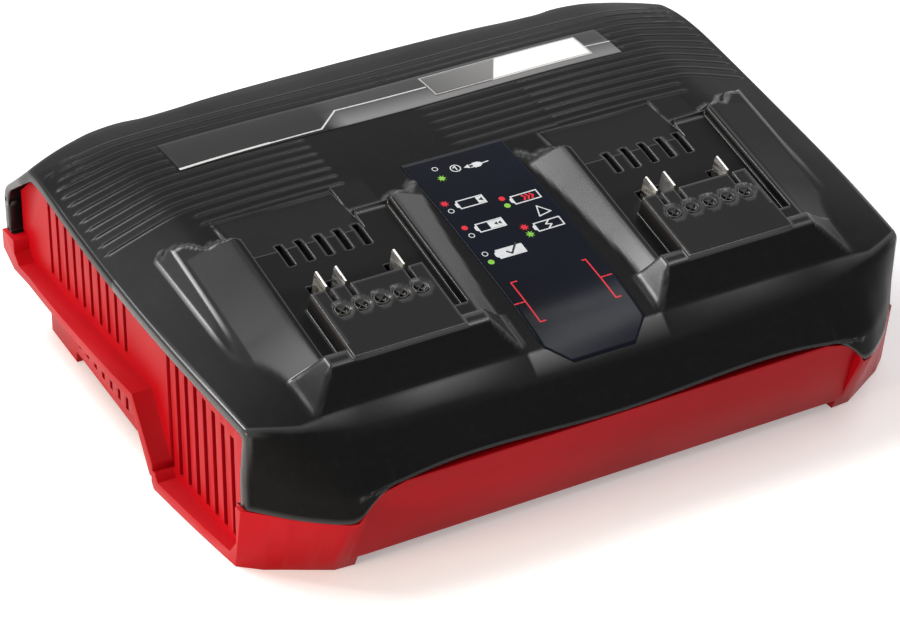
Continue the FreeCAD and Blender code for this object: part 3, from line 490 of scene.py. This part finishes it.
def coverGrid(side):
    # half of the cover: sections from the middle out to the end, then over the rim, down its band and in
    near = lines(net["dockLeft"], net["dockRight"], net["step"], [side * e for e in dockEdges],
                 net["dockOffsets"])
    endStart, band = cover["endStart"], cover["bandWidth"]
    flat = np.concatenate([np.linspace(0, dock["spacing"] + net["dockLeft"], 12)[:-1],
                           dock["spacing"] + near, np.linspace(122.2, endStart, 3)])
    grid = section(side * flat, 0.0)
    across = np.broadcast_to(side * flat, grid.shape[:2])[..., None]
    columns = [np.concatenate([across, grid], -1)]
    fan = np.linspace(endStart - 1, cover["endLimit"], 90)
    # each step: its share of the way to the end, how far it is pulled beyond it, and the section's inset
    steps = [(w, 0.0, 0.0) for w in np.linspace(0.07, 1.0, 15)[:-1]]
    steps += [(1, -1.0, 0.0), (1, -0.5, 0.06), (1, -0.2, 0.25), (1, -0.05, 0.55), (1, 0.0, 1.0),
              (1, 0.0, band - 0.7), (1, -0.15, band - 0.2), (1, -0.6, band), (1, -3.0, band + 0.1),
              (1, -5.4, band + 0.2)]
    for share, pull, inset in steps:
        fanRows = section(side * fan, inset)
        x = np.full(grid.shape[0], endStart + (cover["endMiddle"] - endStart) * share)
        for turn in range(3):
            rows = sampleRows(fan, fanRows, x)
            x = endStart + (readCurve(rows[:, 0], cover["endX"]) + pull - endStart) * share
        x = np.full_like(x, cover["recessX"]) if pull < -5 else x
        columns.append(np.concatenate([(side * x)[:, None], rows], -1)[:, None])
    return np.concatenate(columns, 1)


polish = {
    "turn": (0.14, 0.5), "steep": (0.28, 0.4), "innerFlank": 0.9, "outerFlank": 0.25, "lessOnRibs": 0.65,
    "plateauX": 32.0, "plateauY": (0.3, 46.0), "plateauZ": (-9.0, -0.4),
    "floorX": 31.0, "floorY": (46.0, 94.0), "floorTone": 0.4,
}


def shineAndTone(grid):
    # shine: how much the surface turns per millimetre, and part of it on steep flanks; tone: 1 on the
    # plateaus and part of it on the well floors
    normal = np.cross(np.gradient(grid, axis=1), np.gradient(grid, axis=0))
    normal = normal / np.maximum(np.linalg.norm(normal, axis=-1, keepdims=True), 1e-9)
    turn = np.zeros(grid.shape[:2])
    for way in (0, 1):
        change = np.linalg.norm(np.diff(normal, axis=way), axis=-1)
        change = change / np.maximum(np.linalg.norm(np.diff(grid, axis=way), axis=-1), 0.12)
        for ends in ((1, 0), (0, 1)):
            pads = [ends, (0, 0)] if way == 0 else [(0, 0), ends]
            turn = np.maximum(turn, np.pad(change, pads))
    x, y = np.abs(grid[..., 0]), grid[..., 1]
    across, up = toDock(y, grid[..., 2])
    dx = x - dock["spacing"]
    steep = rise(np.abs(normal[..., 0]), *polish["steep"]) * (x < 122) * (np.abs(dx) > 32)
    steep = steep * within(across, -13, 76, 1.0)
    onRibs = (y > 9.5) * (across > 76) * (y < 96)
    flank = np.where(dx < 0, polish["innerFlank"], polish["outerFlank"]) * steep
    shine = np.maximum(rise(turn, *polish["turn"]) * (1 - polish["lessOnRibs"] * onRibs), flank)
    tone = within(dx, -polish["plateauX"], polish["plateauX"], 0.6)
    tone = tone * within(across, *polish["plateauY"], 0.6) * rise(up, *polish["plateauZ"])
    floor = within(dx, -polish["floorX"], polish["floorX"]) * within(across, *polish["floorY"], 8.0)
    tone = np.maximum(tone, polish["floorTone"] * floor)
    return np.clip(shine, 0, 1), np.clip(tone, 0, 1)


for side, word in ((-1, "left"), (1, "right")):
    grid = coverGrid(side)
    faces = gridFaces(*grid.shape[:2])
    if side < 0:
        faces = faces[:, ::-1]
    piece = buildPiece("cover_" + word, grid, faces, coverBlack, ("top_cover",))
    for label, values in zip(("shine", "tone"), shineAndTone(grid)):
        attribute = piece.data.attributes.new(label, "FLOAT", "POINT")
        attribute.data.foreach_set("value", values.ravel())
    print("cover", word, grid.shape, "cells", len(faces))

# the ring's profile as (radius, height), and the cross-section of each bar as (sideways, height)
vent = {
    "ring": [(2.95, -1.3), (2.95, 0.12), (2.72, 0.2), (2.45, 0.12), (2.4, -0.9), (1.5, -1.25)],
    "bar": [(-0.22, -1.2), (-0.12, -0.25), (0.12, -0.25), (0.22, -1.2)],
    "barHalf": 2.4, "barAngle": 0.6, "roundness": 28,
}


def ventRings(side, word):
    # in every round vent a profile turned once round, and two bars that cross inside it
    points, faces = [], []
    turn = np.linspace(0, 2 * np.pi, vent["roundness"], endpoint=False)
    radius, height = np.array(vent["ring"], float).T[:, :, None]
    barFaces = np.array([[0, 1, 5, 4], [1, 2, 6, 5], [2, 3, 7, 6]])
    ringFaces = gridFaces(len(vent["ring"]), vent["roundness"], True)[:, ::-1]

    def add(dx, across, up, cells):
        y, z = fromDock(across, up)
        faces.append(cells + sum(len(p) for p in points))
        points.append(np.stack([dx + side * dock["spacing"], y, z], -1).reshape(-1, 3))

    for offset in dock["vents"]:
        dx, across = offset + radius * np.cos(turn), dock["ventY"] + radius * np.sin(turn)
        add(dx, across, np.broadcast_to(height, dx.shape), ringFaces)
        for angle in (vent["barAngle"], vent["barAngle"] + math.pi / 2):
            along = np.array([math.cos(angle), math.sin(angle)])
            wide = np.array([-math.sin(angle), math.cos(angle)])
            ends = [(a, b, c) for a in (-vent["barHalf"], vent["barHalf"]) for b, c in vent["bar"]]
            flat = np.array([along * a + wide * b for a, b, c in ends]) + [offset, dock["ventY"]]
            add(flat[:, 0], flat[:, 1], np.array([c for a, b, c in ends]), barFaces)
    buildPiece("vent_rings_" + word, np.concatenate(points), np.concatenate(faces), ringBlack,
               ("top_cover",))


ventRings(-1, "left")
ventRings(1, "right")

edges = {"base": 0.5, "blade": 0.12, "segments": 2, "angle": 32, "weld": 2e-6, "flat": 0.6}


def softened(nodeName, pieceName, finish, width):
    # a merged copy of the CAD piece, its flat faces joined up again and its edges rounded
    work = bmesh.new()
    work.from_mesh(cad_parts[nodeName].data)
    bmesh.ops.remove_doubles(work, verts=work.verts, dist=edges["weld"])
    bmesh.ops.dissolve_limit(work, angle_limit=math.radians(edges["flat"]), verts=work.verts,
                             edges=work.edges)
    mesh = bpy.data.meshes.new(pieceName)
    work.to_mesh(mesh)
    work.free()
    mesh.polygons.foreach_set("use_smooth", [True] * len(mesh.polygons))
    mesh.materials.clear()
    mesh.materials.append(finish)
    piece = bpy.data.objects.new(pieceName, mesh)
    bpy.context.scene.collection.objects.link(piece)
    bevel = piece.modifiers.new("edges", "BEVEL")
    bevel.width, bevel.segments = width * mm, edges["segments"]
    bevel.limit_method, bevel.angle_limit = "ANGLE", math.radians(edges["angle"])
    bevel.harden_normals = True
    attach(piece, "root")
    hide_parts(nodeName)


softened("base_tub", "base_shell", baseRed, edges["base"])
for word in ("left", "right"):
    for role in ("plus", "sense", "minus"):
        name = role + "_" + word
        softened("blade_" + name, "contact_" + name, bladeMetal, edges["blade"])
print("base and blades softened")

# the inner CAD pieces keep their shape; each takes the finish whose key its name starts with
inner = {
    "contact_block": plainPart("carrierBlack", (0.012, 0.012, 0.012), 0.55),
    "transformer_core": plainPart("ferriteGrey", (0.06, 0.058, 0.06), 0.6, 900.0, 0.4),
    "transformer_winding": plainPart("tapeYellow", (0.62, 0.42, 0.03), 0.4),
    "heatsink": bareMetal("sinkAluminium", (0.7, 0.71, 0.73), 0.38, 0.3),
    "main_board": plainPart("boardGreen", (0.01, 0.12, 0.035), 0.32, 600.0),
    "led_board": plainPart("boardGreenSmall", (0.01, 0.12, 0.035), 0.32, 600.0),
    "status_lenses": plainPart("lensClear", (0.75, 0.8, 0.78), 0.2),
    "bulk_capacitor": plainPart("sleeveNavy", (0.012, 0.02, 0.09), 0.3),
    "output_capacitors": plainPart("sleeveBlack", (0.015, 0.015, 0.02), 0.3),
    "power_transistors": plainPart("epoxyBlack", (0.014, 0.014, 0.014), 0.6),
    "line_choke": bareMetal("copperWire", (0.72, 0.36, 0.18), 0.3, 0.5),
    "mains_fuse": plainPart("fuseGlass", (0.7, 0.76, 0.76), 0.12),
    "fuse_clips": bareMetal("clipMetal", (0.7, 0.68, 0.62), 0.35, 0.3),
    "mains_terminal": plainPart("terminalGreen", (0.012, 0.13, 0.05), 0.5),
    "inlet_gland": plainPart("glandRubber", (0.014, 0.014, 0.014), 0.7),
    "dock_leads": plainPart("leadRed", (0.4, 0.02, 0.015), 0.4),
    "mains_leads": plainPart("leadBrown", (0.12, 0.05, 0.02), 0.4),
    "housing_screws": bareMetal("screwZinc", (0.6, 0.6, 0.6), 0.35, 0.3),
    "board_screws": bareMetal("screwZincSmall", (0.6, 0.6, 0.6), 0.35, 0.3),
}
for nodeName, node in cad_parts.items():
    for start, finish in inner.items():
        if nodeName.startswith(start):
            node.data.materials.clear()
            node.data.materials.append(finish)
print("inner pieces finished")

film = {
    "half": 22.0, "rear": 12.4, "front": -92.5, "tip": -100.5, "tipHalf": 13.0, "lift": 0.32,
    "rimDrop": 0.12, "tuck": 0.2, "endTuck": 0.5,
    "navy": (0.001, 0.0018, 0.006), "blue": (0.0014, 0.003, 0.011),
}


def filmPoints():
    # a sheet at one lift over the crown; its half width is straight to the front and then cut at a slant,
    # and its edge turns down
    ys = np.concatenate([np.linspace(film["tip"], film["front"], 8),
                         np.linspace(film["front"], film["rear"], 60)[1:]])
    half = readLine(ys, [(film["tip"], film["tipHalf"]), (film["front"], film["half"])])
    across = np.concatenate([[-1, -1, -0.985], np.linspace(-0.94, 0.94, 21), [0.985, 1, 1]])
    x = half[:, None] * across[None, :]
    y = np.repeat(ys[:, None], len(across), 1)
    lift = np.full_like(x, film["lift"])
    lift[:, [0, -1]] = -film["tuck"]
    lift[:, [1, -2]] = film["lift"] - film["rimDrop"]
    points = np.stack([x, y, crownTop(x, y) + lift], -1)
    head, tail = points[:1].copy(), points[-1:].copy()
    head[..., 2] -= film["endTuck"]
    tail[..., 2] -= film["endTuck"]
    return np.concatenate([head, points, tail], 0)


filmFinish = Finish("filmNavy", film["navy"], 0.2, Specular_IOR_Level=0.08)
cloud = filmFinish.noise(30.0, 4.0)
drift = filmFinish.spread(cloud, 0.35, 0.7)
filmFinish.put("Base Color", filmFinish.mix(drift, film["navy"], film["blue"]))
filmFinish.put("Roughness", 0.12 + cloud * 0.12)
filmFinish.grain(filmFinish.noise(900.0, 2.0), 0.05, 0.00005)
grid = filmPoints()
buildPiece("sign_film", grid, gridFaces(*grid.shape[:2]), filmFinish.material, ("display_film",))


def patch(x0, x1, y0, y1, lift, countX, countY, rimDrop=0.12, tuck=0.3):
    # a sheet at one lift over the crown; its outer rows and columns are doubled, and drop first by rimDrop
    # and then to below the crown
    u = np.concatenate([[0, 0.0], np.linspace(0.0, 1.0, countX), [1.0, 1.0]])
    v = np.concatenate([[0, 0.0], np.linspace(0.0, 1.0, countY), [1.0, 1.0]])
    x = x0 + (x1 - x0) * u[None, :] + 0 * v[:, None]
    y = (y0 + (y1 - y0) * v)[:, None] + 0 * x
    x[:, 2] += rimDrop
    x[:, -3] -= rimDrop
    y[2] += rimDrop
    y[-3] -= rimDrop
    drop = np.zeros_like(x)
    drop[[1, -2]] = rimDrop
    drop[:, [1, -2]] = rimDrop
    drop[[0, -1]] = lift + tuck
    drop[:, [0, -1]] = lift + tuck
    return np.stack([x, y, crownTop(x, y) + lift - drop], -1)


# grey to the right of the fade's place along x (in metres), lightest at the front
strip = {
    "half": 98.0, "y": 46.0, "deep": 21.0, "lift": 0.3,
    "fadeX": (-0.034, -0.026), "fadeY": (0.0460, 0.0585), "dark": (0.02, 0.02, 0.021),
    "grey": (0.045, 0.045, 0.047), "light": (0.2, 0.2, 0.205),
}
stripFinish = Finish("stripGrey", (0.03, 0.03, 0.032), 0.34, Specular_IOR_Level=0.1)
front = stripFinish.spread(stripFinish.axis("Y"), *strip["fadeY"], 1.0, 0.0)
right = stripFinish.spread(stripFinish.axis("X"), *strip["fadeX"])
fade = stripFinish.mix(front, strip["grey"], strip["light"])
stripFinish.put("Base Color", stripFinish.mix(right, strip["dark"], fade))
stripFinish.put("Roughness", 0.3 + stripFinish.noise(60.0) * 0.12)
stripFinish.grain(stripFinish.noise(1200.0, 2.0), 0.08, 0.00005)
grid = patch(-strip["half"], strip["half"], strip["y"], strip["y"] + strip["deep"], strip["lift"], 90, 12)
buildPiece("title_strip_face", grid, gridFaces(*grid.shape[:2]), stripFinish.material,
           ("title_strip",))

# dark at the left of a slanted line (in metres), white at its right
badge = {
    "x0": 14.5, "x1": 86.5, "y0": 49.5, "y1": 64.5, "lift": 0.56, "slant": 0.6, "slantX": (0.0105, 0.0112),
    "fadeX": (-0.01, 0.045), "dark": (0.004, 0.004, 0.004), "grey": (0.16, 0.16, 0.16),
    "white": (0.82, 0.82, 0.82),
}
badgeFinish = Finish("badgeBlank", (0.6, 0.6, 0.6), 0.3, Specular_IOR_Level=0.4)
slant = badgeFinish.axis("X") - badgeFinish.axis("Y") * badge["slant"]
half = badgeFinish.spread(slant, *badge["slantX"])
fade = badgeFinish.spread(badgeFinish.axis("X"), *badge["fadeX"])
fade = badgeFinish.mix(fade, badge["dark"], badge["grey"])
badgeFinish.put("Base Color", badgeFinish.mix(half, fade, badge["white"]))
badgeFinish.put("Roughness", 0.24 + badgeFinish.noise(50.0) * 0.1)
badgeFinish.grain(badgeFinish.noise(1200.0, 2.0), 0.05, 0.00005)
grid = patch(badge["x0"], badge["x1"], badge["y0"], badge["y1"], badge["lift"], 40, 8)
buildPiece("badge_blank", grid, gridFaces(*grid.shape[:2]), badgeFinish.material,
           ("badge_plate",))


def circle(x, y, radius, count):
    # radius times (cos, sin) of even angles, moved to x and y; the radius may differ from angle to angle
    turn = np.linspace(0, 2 * np.pi, count, endpoint=False)
    return np.stack([x + radius * np.cos(turn), y + radius * np.sin(turn)], -1)


class Marks:
    # flat shapes drawn in millimetres over the cover and laid onto it at one lift
    def __init__(self, lift):
        self.points, self.faces, self.lift = [], [], lift

    def add(self, outline, faces):
        # points, and faces that count from the first of them
        start = sum(len(p) for p in self.points)
        self.points.append(np.asarray(outline, float))
        self.faces += [[start + i for i in f] for f in faces]

    def ring(self, x, y, outer, inner, count=40):
        both = np.concatenate([circle(x, y, inner, count), circle(x, y, outer, count)])
        self.add(both, [[i, count + i, count + (i + 1) % count, (i + 1) % count] for i in range(count)])

    def disc(self, x, y, radius, count=36):
        self.add(circle(x, y, radius, count), [list(range(count))])

    def star(self, x, y, outer, inner, count=16):
        # triangles from the middle to a rim that is outer and inner by turns
        rim = circle(x, y, np.where(np.arange(count) % 2 == 0, outer, inner), count)
        self.add(np.concatenate([[[x, y]], rim]), [[0, 1 + i, 1 + (i + 1) % count] for i in range(count)])

    def shape(self, corners):
        self.add(corners, [list(range(len(corners)))])

    def line(self, points, width, closed=False):
        # each stroke a strip of the width, drawn past both of its ends by half the width
        points = [np.array(p, float) for p in points]
        nexts = points[1:] + points[:1] if closed else points[1:]
        for a, b in [cut for a, b in zip(points, nexts) for cut in self.shortened(a, b)]:
            along = (b - a) / max(np.linalg.norm(b - a), 1e-6)
            side = np.array([-along[1], along[0]]) * width / 2
            a, b = a - along * width / 2, b + along * width / 2
            self.add([a - side, b - side, b + side, a + side], [[0, 1, 2, 3]])

    def shortened(self, a, b, longest=3.0):
        # a long stroke in even pieces, so that it follows the cover
        count = max(1, int(math.ceil(np.linalg.norm(b - a) / longest)))
        return [(a + (b - a) * k / count, a + (b - a) * (k + 1) / count) for k in range(count)]

    def lay(self, name, finish, slotName="film"):
        # every point at the crown's height plus the lift
        x, y = np.concatenate(self.points).T
        points = np.stack([x, y, crownTop(x, y) + self.lift], -1)
        buildPiece(name, points, self.faces, finish, smooth=False)


def printInk(name, colour):
    # flat ink with a slight cloud in its colour and gloss
    made = Finish(name, colour, 0.35, Specular_IOR_Level=0.3)
    cloud = made.noise(500.0, 3.0)
    thin = tuple(c * 0.86 for c in colour)
    made.put("Base Color", made.mix(made.spread(cloud, 0.3, 0.7), colour, thin))
    made.put("Roughness", 0.3 + cloud * 0.12)
    return made.material


signs = {
    "openDots": ((-11.0, 5.4), (-17.9, -19.2), (-17.6, -34.0), (-18.1, -44.6)),
    "greenStars": ((-11.4, -0.7), (3.4, -41.3)), "redStars": ((-18.2, -14.6), (3.2, -37.2)),
    "redDots": ((3.5, -20.1), (-18.0, -29.4)), "greenDots": ((3.5, -24.3), (-18.1, -49.2)),
    "dot": 1.25, "dotHole": 0.9, "star": (2.0, 0.85), "starCore": 1.1,
    "stroke": 0.5, "batterySize": (11.0, 4.4),
}
inks = {
    "white": (0.62, 0.64, 0.66), "green": (0.2, 0.5, 0.05), "red": (0.66, 0.012, 0.03),
    "dark": (0.004, 0.005, 0.01), "silver": (0.55, 0.55, 0.55), "frame": (0.42, 0.42, 0.42),
}


def batterySign(marks, x, y):
    # the outline of a battery lying on its side, its nub at the left
    long, tall = signs["batterySize"]
    marks.line([(x, y), (x + long, y), (x + long, y + tall), (x, y + tall)], 0.55, closed=True)
    nub = x - 1.2
    marks.shape([(x, y + 0.3), (x, y + tall - 0.3), (nub, y + tall * 0.7), (nub, y + tall * 0.3)])


def drawLights(white, green, red):
    # the small round marks beside the signs: rings, stars and discs
    for x, y in signs["openDots"]:
        white.ring(x, y, signs["dot"], signs["dotHole"])
    for marks, stars, dots in ((green, "greenStars", "greenDots"), (red, "redStars", "redDots")):
        for x, y in signs[stars]:
            marks.star(x, y, *signs["star"])
            marks.disc(x, y, signs["starCore"])
        for x, y in signs[dots]:
            marks.disc(x, y, signs["dot"])


def drawSigns(white, red, dark):
    stroke = signs["stroke"]
    # a power sign, an arrow and a plug with its two pins and its cord
    white.ring(-3.5, 2.8, 2.2, 1.75)
    white.line([(-4.3, 3.3), (-3.3, 4.0), (-3.3, 1.8)], stroke)
    white.shape([(-0.4, 1.9), (2.0, 3.1), (2.0, 0.7)])
    white.shape([(3.8, 0.2), (6.0, 0.2), (7.2, 0.9), (7.6, 1.7), (7.2, 2.5), (6.0, 3.2), (3.8, 3.2),
                 (3.5, 1.7)])
    white.line([(2.6, 0.9), (4.0, 0.9)], stroke)
    white.line([(2.6, 2.5), (4.0, 2.5)], stroke)
    white.line([(7.4, 1.7), (10.2, 1.9)], stroke)
    # a battery partly filled, and one with three heat marks
    batterySign(white, -13.6, -19.4)
    white.shape([(-5.6, -19.0), (-2.8, -19.0), (-2.8, -15.4), (-5.6, -15.4)])
    dark.shape([(-5.0, -17.2), (-3.2, -16.1), (-3.2, -18.3)])
    batterySign(white, 7.0, -24.8)
    for k in range(3):
        red.line([(11.4 + 1.7 * k, -23.8), (12.2 + 1.7 * k, -22.6), (11.4 + 1.7 * k, -21.4)], 0.75)
    # an empty triangle
    white.line([(11.9, -34.0), (17.3, -33.0), (13.6, -28.6)], stroke, closed=True)
    # batteries with a double arrow, with a zigzag and with a tick
    batterySign(white, -13.4, -33.6)
    white.shape([(-8.6, -33.2), (-2.6, -33.2), (-2.6, -29.6), (-8.6, -29.6)])
    dark.shape([(-6.4, -31.4), (-5.0, -30.4), (-5.0, -32.4)])
    dark.shape([(-4.8, -31.4), (-3.4, -30.4), (-3.4, -32.4)])
    batterySign(white, 7.4, -41.2)
    white.line([(13.8, -37.0), (11.8, -38.6), (13.9, -39.4), (11.9, -41.0)], 0.55)
    batterySign(white, -13.6, -48.8)
    white.shape([(-13.4, -48.6), (-2.8, -48.6), (-2.8, -44.6), (-13.4, -44.6)])
    dark.line([(-9.6, -46.4), (-8.2, -47.8), (-4.4, -43.4)], 0.8)
    # the two red brackets near the front of the film
    red.line([(-14.6, -61.6), (-17.0, -61.6), (-16.8, -82.4), (-14.6, -82.4)], 0.6)
    red.line([(-21.4, -72.0), (-17.0, -72.0)], 0.55)
    red.line([(14.2, -61.0), (15.5, -61.0), (16.0, -81.8), (18.0, -81.8)], 0.6)
    red.line([(15.8, -71.2), (20.6, -71.2)], 0.55)


def drawStripLines():
    # the bright line along the strip, and the frame on the badge
    silver, badgeFrame = Marks(0.35), Marks(0.6)
    silver.line([(-97.6, 46.6), (-37.0, 47.6), (-26.0, 57.6), (14.0, 57.2)], 0.75)
    silver.line([(-97.6, 46.9), (-60.0, 47.4)], 1.2)
    silver.line([(86.8, 55.6), (97.8, 55.2)], 0.6)
    silver.lay("strip_line", printInk("inkSilver", inks["silver"]), "strip")
    badgeFrame.line([(15.0, 50.0), (86.0, 50.0), (86.0, 64.0), (15.0, 64.0)], 0.5, closed=True)
    badgeFrame.lay("badge_frame", printInk("inkFrame", inks["frame"]), "badge")


white, green, red, dark = Marks(0.36), Marks(0.37), Marks(0.37), Marks(0.38)
drawLights(white, green, red)
drawSigns(white, red, dark)
drawStripLines()
white.lay("marks_white", printInk("inkWhite", inks["white"]))
green.lay("marks_green", printInk("inkGreen", inks["green"]))
red.lay("marks_red", printInk("inkRed", inks["red"]))
dark.lay("marks_dark", printInk("inkDark", inks["dark"]))
print("film, strip, badge and marks laid")

stage = {"floor": 2.6, "floorColour": (0.86, 0.86, 0.86), "floorGlow": 0.3, "backdrop": 1.0, "soft": 0.42}


def directRays(tree):
    # 1 for the rays that see the surroundings: camera, glossy and transmission rays
    path = tree.nodes.new("ShaderNodeLightPath")
    sight, glossy, through = (Field(tree, path.outputs["Is " + kind + " Ray"])
                              for kind in ("Camera", "Glossy", "Transmission"))
    return sight + glossy + through


def makeFloor():
    # a pale floor that keeps the shadow and glows a little for the rays that see it
    size = stage["floor"]
    corners = [(-size, -size, 0), (size, -size, 0), (size, size, 0), (-size, size, 0)]
    mesh = bpy.data.meshes.new("floor")
    mesh.from_pydata(corners, [], [(0, 1, 2, 3)])
    finish = Finish("floorPaint", stage["floorColour"], 0.75, Specular_IOR_Level=0.2)
    finish.put("Roughness", 0.7 + finish.noise(6.0) * 0.1)
    finish.put("Emission Color", finish.mix(directRays(finish.tree), (0, 0, 0), (1, 1, 1)))
    finish.put("Emission Strength", stage["floorGlow"])
    mesh.materials.append(finish.material)
    floor = bpy.data.objects.new("floor", mesh)
    bpy.context.scene.collection.objects.link(floor)


def makeWorld():
    # plain white for the rays that see it, a soft even light for all others
    world = bpy.data.worlds.new("studio")
    bpy.context.scene.world = world
    world.use_nodes = True
    tree = world.node_tree
    tree.nodes.clear()
    blend, out = tree.nodes.new("ShaderNodeMixShader"), tree.nodes.new("ShaderNodeOutputWorld")
    tree.links.new(directRays(tree).socket, blend.inputs[0])
    for place, strength in ((1, stage["soft"]), (2, stage["backdrop"])):
        light = tree.nodes.new("ShaderNodeBackground")
        light.inputs[0].default_value = (1, 1, 1, 1)
        light.inputs[1].default_value = strength
        tree.links.new(light.outputs[0], blend.inputs[place])
    tree.links.new(blend.outputs[0], out.inputs[0])


lamps = {
    "key": {"place": (-0.36, 0.36, 0.86), "aim": (0.05, 0.0, 0.06), "size": (0.46, 0.34), "power": 7.5,
            "colour": (1.0, 1.0, 1.0)},
    "side": {"place": (-1.10, -0.20, 0.30), "aim": (-0.12, 0.0, 0.05), "size": (0.5, 0.35), "power": 8.5,
             "colour": (1.0, 0.8, 0.55)},
    "front": {"place": (0.46, -0.15, 1.02), "aim": (0.0, -0.05, 0.05), "size": (0.9, 0.07), "power": 2.4,
              "colour": (1.0, 1.0, 1.0)},
}
camera = {"place": (-0.60587, -1.04490, 0.75995), "forward": (0.4242, 0.7407, -0.5210), "lens": 145.65}


def setDown(name, data, place, forward):
    # a lamp or camera at its place, looking along forward
    seat = bpy.data.objects.new(name, data)
    seat.location = place
    seat.rotation_mode = "QUATERNION"
    seat.rotation_quaternion = forward.to_track_quat("-Z", "Y")
    bpy.context.scene.collection.objects.link(seat)
    return seat


def addLamp(name, place, aim, size, power, colour):
    # a rectangular area lamp that points from its place to its aim
    light = bpy.data.lights.new(name, "AREA")
    light.shape, light.size, light.size_y = "RECTANGLE", size[0], size[1]
    light.energy, light.color = power, colour
    setDown(name, light, place, Vector(aim) - Vector(place))


def addCamera():
    # a long lens on the front left corner, from above
    lens = bpy.data.cameras.new("photo")
    lens.lens, lens.sensor_width = camera["lens"], 36.0
    bpy.context.scene.camera = setDown("photo", lens, camera["place"], Vector(camera["forward"]))


makeFloor()
makeWorld()
for name, lamp in lamps.items():
    addLamp(name, **lamp)
addCamera()
bpy.context.scene.view_settings.view_transform = "Standard"
print("stage, lamps and camera set")
